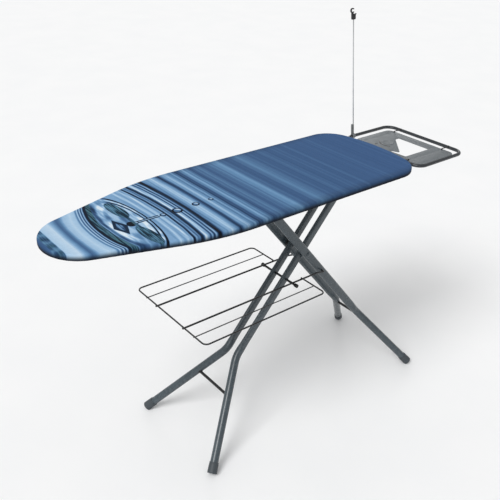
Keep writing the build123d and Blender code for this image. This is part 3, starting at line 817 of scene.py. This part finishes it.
def crossbar(pair):
    """Round bar between the lower tubes, with a weld bead at each end."""
    low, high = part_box(f"{pair}_crossbar")
    level, ends, beads = (low.z + high.z) / 2, [], []
    for side in SIDES.values():
        _, bend, floor = leg_line(pair, side)
        out = (floor - bend).normalized()
        centre = bend + (floor - bend) * ((bend.z - level) / bend.z)
        ends.append(centre)
        beads.append(weld("bead", centre, (0, -side, 0), BAR_R, out, TUBE_R))
    rod = bar("rod", ends, BAR_R, sides=20)
    add(joined(f"{pair}_stretcher", [rod, *beads]), f"{pair}_legs", "wire_paint", f"{pair}_crossbar")


def scissor_rivets():
    """Domed rivets through both pairs, a washer under each outer head, and the bushes between."""
    for name, side in SIDES.items():
        low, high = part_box(f"pivot_rivet_{name}")
        outer = max(abs(low.y), abs(high.y))
        face = PAIRS["outer"]["y"] + OVAL[1]
        brim = face + 0.6 * MM
        head = rivet("head", (PIVOT.x, side * brim, PIVOT.z), (0, side, 0), 7.2 * MM, outer - brim)
        washer = turned("washer", [(4, -0.1), (8.6, -0.1), (9.0, 0.15), (9.0, 0.5), (8.7, 0.7), (4, 0.7)],
                        (0, 0, 0), (0, side, 0))
        washer.data.transform(Matrix.Translation((PIVOT.x, side * face, PIVOT.z)) @ Matrix.Scale(MM, 4))
        inner = PAIRS["inner"]["y"] - OVAL[1]
        depth = inner - min(abs(low.y), abs(high.y))
        tail = rivet("tail", (PIVOT.x, side * inner, PIVOT.z), (0, -side, 0), 7.2 * MM, depth)
        ends = [(PIVOT.x, side * y, PIVOT.z) for y in (inner + MM, face - MM)]
        shank = bar("shank", ends, 4 * MM)
        add(joined(f"scissor_rivet_{name}", [head, washer, tail, shank]), "inner_legs", "leg_paint",
            f"pivot_rivet_{name}")
        low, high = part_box(f"pivot_bush_{name}")
        gap = high.y - low.y
        profile = [(4.1 * MM, 0), (8.4 * MM, 0), (9 * MM, 0.6 * MM), (9 * MM, 2.4 * MM), (7.8 * MM, 3 * MM),
                   (7.8 * MM, gap - 3 * MM), (9 * MM, gap - 2.4 * MM), (9 * MM, gap - 0.6 * MM),
                   (8.4 * MM, gap), (4.1 * MM, gap)]
        bush = turned(f"scissor_bush_{name}", profile, (PIVOT.x, low.y, PIVOT.z), (0, 1, 0))
        add(bush, "inner_legs", "black_plastic", f"pivot_bush_{name}")


def rest_rod():
    """Rod that the shelf lies on, with ribbed push-on caps."""
    low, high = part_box("shelf_rest_rod")
    x, z, radius = (low.x + high.x) / 2, (low.z + high.z) / 2, (high.z - low.z) / 2
    add(bar("shelf_rest_bar", [(x, low.y, z), (x, high.y, z)], radius, sides=20), "inner_legs", "wire_paint",
        "shelf_rest_rod")
    end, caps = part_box("shelf_rest_caps")[1].y, []
    for side in SIDES.values():
        profile = [(4.1, 0.2), (5.4, 0), (5.9, 0.5), (5.9, 1.6), (5.3, 2.0), (5.9, 2.5), (6.2, 4.5), (6.5, 8.0),
                   (6.5, 11.4), (6.1, 12.4), (5.2, 12.95), (2.0, 13.0)]
        scaled = [(r * MM, h * MM) for r, h in profile]
        caps.append(turned("cap", scaled, (x, side * (end - 13 * MM), z), (0, side, 0), 28))
    add(joined("shelf_rod_caps", caps), "inner_legs", "black_plastic", "shelf_rest_caps")


# ---------------------------------------------------------------- shelf
def shelf():
    """Welded wire shelf: frame wire, two carrying rods that hook into the legs, two thin wires."""
    low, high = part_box("shelf_frame")
    radius = (high.z - low.z) / 2
    z, near = (low.z + high.z) / 2, low.y + radius
    front, back, far = low.x + radius, high.x - radius, high.y - radius
    rod_low, rod_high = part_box("shelf_rod_far")
    rod_r = 3 * MM
    rod_y, rod_z = rod_high.y - rod_r, rod_high.z - rod_r
    gap = rod_y - 3 * MM
    hinge = JOINT["shelf_fold"]
    loop = [(back, -gap, z), (back, near, z), (front, near, z), (front, far, z), (back, far, z), (back, gap, z)]
    add(bar("shelf_loop", loop, radius, 16 * MM), "shelf", "wire_paint", "shelf_frame")
    thin_low, thin_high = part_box("shelf_wire_far")
    thin_r = (thin_high.z - thin_low.z) / 2
    thin_y, thin_z = (thin_low.y + thin_high.y) / 2, (thin_low.z + thin_high.z) / 2
    for name, side in SIDES.items():
        line = [(rod_low.x, side * rod_y, rod_z), (hinge.x - 34 * MM, side * rod_y, rod_z),
                (hinge.x, side * rod_y, hinge.z), (hinge.x, side * abs(rod_low.y), hinge.z)]
        add(bar(f"shelf_bar_{name}", line, rod_r, 6 * MM), "shelf", "wire_paint", f"shelf_rod_{name}")
        ends = [(x, side * thin_y, thin_z) for x in (thin_low.x, thin_high.x)]
        add(bar(f"shelf_thin_{name}", ends, thin_r, sides=12), "shelf", "wire_paint", f"shelf_wire_{name}")
    spots = []
    for x in (front, back):
        for side in SIDES.values():
            for y, wire_r, wire_z in ((rod_y, rod_r, rod_z), (thin_y, thin_r, thin_z)):
                touch = (wire_z + wire_r + z - radius) / 2
                blob = [(0.4, -1.2), (1.6, -0.9), (2.3, 0), (1.7, 0.9), (0.4, 1.2)]
                scale = wire_r / 3 * 1.25
                profile = [(r * scale, h * scale) for r, h in blob]
                spots.append(turned("spot", profile, (x, side * y, touch), (0, 0, 1), 14, crease=80))
    add(joined("shelf_welds", spots, crease=80), "shelf", "wire_paint")


# ---------------------------------------------------------------- iron rest
def rounded(low, high, radius, steps=8):
    """Corner-rounded rectangle as (x, y) points, low and high being its corners."""
    points = []
    for k, (x, y) in enumerate(((high[0], high[1]), (low[0], high[1]), (low[0], low[1]), (high[0], low[1]))):
        cx = x - radius if x == high[0] else x + radius
        cy = y - radius if y == high[1] else y + radius
        for step in range(steps + 1):
            angle = (k + step / steps) * math.pi / 2
            points.append((cx + radius * math.cos(angle), cy + radius * math.sin(angle)))
    return points


def iron_rest():
    """Looped tube, the pressed plate inside it, its boss with painted shadow arcs, rivets and hanging clips."""
    low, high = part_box("rest_frame")
    radius = (high.z - low.z) / 2
    z = (low.z + high.z) / 2
    corners = [(low.x + radius, low.y + radius, z), (high.x - radius, low.y + radius, z),
               (high.x - radius, high.y - radius, z), (low.x + radius, high.y - radius, z)]
    add(bar("rest_loop", corners, radius, 36 * MM, closed=True, sides=28), "board", "rest_paint", "rest_frame")

    p_low, p_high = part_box("rest_plate")
    thickness, top = 1.5 * MM, MOUNT["iron_plate"].z
    outer = rounded(p_low, p_high, 22 * MM)
    tongue = [(NOSE + s * MM, y * MM, 0) for s, y in (
        (1400, 55), (1421, 56), (1421, -82), (1295, -82), (1289, 8), (1310, -42))]
    opening = [(p.x, p.y) for p in route(tongue, 5 * MM, closed=True)]
    holes = []
    for x in (p_low.x + 6 * MM, p_high.x - 6 * MM):
        for y in (-110 * MM, 110 * MM):
            holes.append([(x + dx, y + dy) for dx, dy in round_section(2.3 * MM, 16)])
    sheet = plate("sheet", [outer, opening, *holes], thickness, 0.5 * MM, top)
    rim = bar("rim", [(x, y, top - 0.7 * MM) for x, y in outer], 1.0 * MM, closed=True, sides=10)
    lip = bar("lip", [(x, y, top - 0.7 * MM) for x, y in opening], 1.0 * MM, closed=True, sides=10)
    boss_at = Vector((NOSE + 1350 * MM, 46 * MM, top))
    boss = turned("boss", [(r * MM, h * MM) for r, h in (
        (22.0, -0.2), (21.5, 0.4), (20.4, 0.8), (19.0, 1.0), (17.8, 0.9), (16.4, 0.6), (8.0, 0.5), (0.5, 0.5))],
        boss_at, (0, 0, 1), 64)
    add(joined("rest_plate_pressed", [sheet, rim, lip, boss]), "board", "plate_paint", "rest_plate")

    # Painted shadows: flat black strips lying on the plate, a long arc along the near edge of the boss for the
    # shadow under it and a short arc beside it for a small rivet's shadow.
    painted_shadow_arcs, flat = [], oval_section(2.3 * MM, 0.4 * MM, 16)
    for shift, reach, start, end in (((6, -4, 0), 37, 122, 222), ((-43, 12, 0), 8, 40, 150)):
        centre = boss_at + Vector(shift) * MM
        path = [centre + Vector((reach * math.cos(a), reach * math.sin(a), 0.15)) * MM
                for a in np.radians(np.linspace(start, end, 15))]
        painted_shadow_arcs.append(sweep("painted_shadow_arc", path, [flat] * len(path), up=(0, 0, 1)))
    add(joined("rest_plate_painted_shadow_arcs", painted_shadow_arcs), "board", "wire_paint")

    clips = []
    for bar_x, hole_x in ((low.x + radius, p_low.x + 6 * MM), (high.x - radius, p_high.x - 6 * MM)):
        way = 1 if hole_x > bar_x else -1
        reach = radius + 1.9 * MM
        for y in (-110 * MM, 110 * MM):
            line = [(bar_x - way * reach * math.cos(a), y, z + reach * math.sin(a))
                    for a in np.radians((104, 122, 140, 158))]
            line += [(hole_x, y, top + 3.6 * MM), (hole_x, y, top - 5.5 * MM)]
            line.append((hole_x - way * 5 * MM, y, top - 8 * MM))
            clips.append(bar("clip", line, 1.8 * MM, 2.2 * MM, sides=12))
    add(joined("rest_hooks", clips), "board", "wire_paint", "rest_clips")

    heads, under = [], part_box("deck_rib_rear")[0].z - 2 * MM
    for name in SIDES:
        s_low, s_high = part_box(f"rest_strap_{name}")
        y = (s_low.y + s_high.y) / 2
        for dy in (-8 * MM, 8 * MM):
            place = (s_low.x + 9 * MM, y + dy, under)
            heads.append(rivet("head", place, (0, 0, -1), 4 * MM, 1.8 * MM))
    add(joined("strap_rivets", heads), "board", "zinc")


# ---------------------------------------------------------------- cord guide
def cord_guide():
    """Socket clamped on the loop, springy rod and the snap clip at its top."""
    base, axis = JOINT["guide_swivel"], AXIS["guide_swivel"].normalized()
    ring = [(6.05, -6.0), (8.0, -6.0), (8.5, -5.5), (8.5, -2.0), (8.1, -1.7), (8.1, 1.7), (8.5, 2.0),
            (8.5, 5.5), (8.0, 6.0), (6.05, 6.0)]
    clamp = turned("clamp", [(r * MM, h * MM) for r, h in ring], base, (1, 0, 0), 44)
    post = turned("post", [(r * MM, h * MM) for r, h in (
        (4.9, 6.2), (5.3, 6.8), (5.3, 39.4), (5.0, 39.8), (5.0, 41.2), (5.3, 41.6), (5.3, 43.2), (4.7, 44.0),
        (1.0, 44.0))], base + Vector((-2.0, 1.6, -0.3)) * MM, axis, 32)
    add(joined("guide_socket", [clamp, post]), "board", "socket_plastic", "cord_guide_socket")

    top = 435 * MM
    add(bar("guide_rod", [base + axis * 18 * MM, base + axis * (top - 8 * MM)], 2 * MM, sides=20), "cord_guide",
        "guide_steel", "cord_guide_rod")

    heading = math.atan2(axis.y, axis.x)
    tilt = (Matrix.Rotation(heading, 4, "Z") @ Matrix.Rotation(math.acos(axis.z), 4, "Y")
            @ Matrix.Rotation(-heading, 4, "Z"))
    place = Matrix.Translation(base) @ tilt @ Matrix.Translation((0, 0, top)) @ Matrix.Scale(MM, 4)
    stand = Matrix.Rotation(math.pi / 2, 4, "X")
    shoulder = [(6 + 13 * math.cos(a), 12 + 13 * math.sin(a)) for a in np.radians((228, 248, 268, 284, 300))]
    block = plate("block", [[(-7.5, -16), (-5.5, -18), (5.5, -18), (7.5, -16), (7.5, -2.0), *reversed(shoulder),
                             (-5.5, 4.5), (-7.5, 3.5)]], 9, 1.1, 4.5)
    block.data.transform(place @ stand)
    hook = []
    for angle in np.linspace(math.radians(38), math.radians(318), 26):
        hook.append((-5 + 6.9 * math.cos(angle), 0, 12 + 6.9 * math.sin(angle)))
    strip = oval_section(1.6, 3.5, 20)
    snap = sweep("snap", hook, [strip] * len(hook), up=(0, 1, 0))
    snap.data.transform(place)
    add(joined("guide_clip", [block, snap]), "cord_guide", "black_plastic", "cord_guide_clip")


# ---------------------------------------------------------------- release lever
def lever():
    """Ribbed grip of the bent-rod release lever."""
    low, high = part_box("lever_grip")
    outline_xy = rounded(low, high, 5 * MM)
    grip = plate("grip", [outline_xy], high.z - low.z, 3 * MM, high.z)
    ribs = []
    for k in range(6):
        x = low.x + (14 + 8 * k) * MM
        ends = [(x, low.y + 4 * MM, low.z + 0.2 * MM), (x, high.y - 4 * MM, low.z + 0.2 * MM)]
        ribs.append(bar("rib", ends, 1.3 * MM, sides=10))
    add(joined("lever_handle", [grip, *ribs]), "release_lever", "black_plastic", "lever_grip")


# ---------------------------------------------------------------- studio
def sun(name, towards, strength, softness):
    """Distant soft light from a direction; softness is its apparent size in degrees."""
    light = bpy.data.lights.new(name, "SUN")
    light.energy, light.angle = strength, math.radians(softness)
    holder = bpy.data.objects.new(name, light)
    holder.rotation_euler = Vector(towards).to_track_quat("Z", "Y").to_euler()
    bpy.context.scene.collection.objects.link(holder)


def studio():
    """Pale floor, soft light from the nose's side, and the camera."""
    floor = piece("studio_floor", [(-60, -60, 0), (60, -60, 0), (60, 60, 0), (-60, 60, 0)], [(0, 1, 2, 3)])
    floor.data.materials.append(floor_finish("studio_floor"))
    world = bpy.data.worlds.new("studio")
    world.use_nodes = True
    world.node_tree.nodes["Background"].inputs["Color"].default_value = (1, 1, 1, 1)
    world.node_tree.nodes["Background"].inputs["Strength"].default_value = 0.52
    bpy.context.scene.world = world
    sun("key", (-0.9, -0.2, 1.0), 1.95, 30)
    sun("rim", (0.7, 0.8, 0.5), 0.25, 20)
    bpy.context.scene.view_settings.view_transform = "Standard"
    lens = bpy.data.cameras.new("camera")
    lens.lens, lens.shift_x, lens.shift_y = 49.70, 0.0094, 0.0008
    camera = bpy.data.objects.new("camera", lens)
    camera.location = (-1.3102, -1.4742, 1.7166)
    camera.rotation_euler = [math.radians(a) for a in (60.854, -1.699, -38.565)]
    bpy.context.scene.collection.objects.link(camera)
    bpy.context.scene.camera = camera


cover()
pad()
deck()
for side_name, side_sign in SIDES.items():
    for pair_name in PAIRS:
        leg(pair_name, side_name, side_sign)
        foot(pair_name, side_name, side_sign)
for pair_name in PAIRS:
    crossbar(pair_name)
scissor_rivets()
rest_rod()
shelf()
iron_rest()
cord_guide()
lever()
slot_of = {part["node"]: part["material_slot"] for part in RECORD["subparts"]}
for node_name, node in frame["nodes"].items():
    if not node.hide_render:
        node.data.materials.clear()
        node.data.materials.append(FINISH[slot_of[node_name]])
studio()
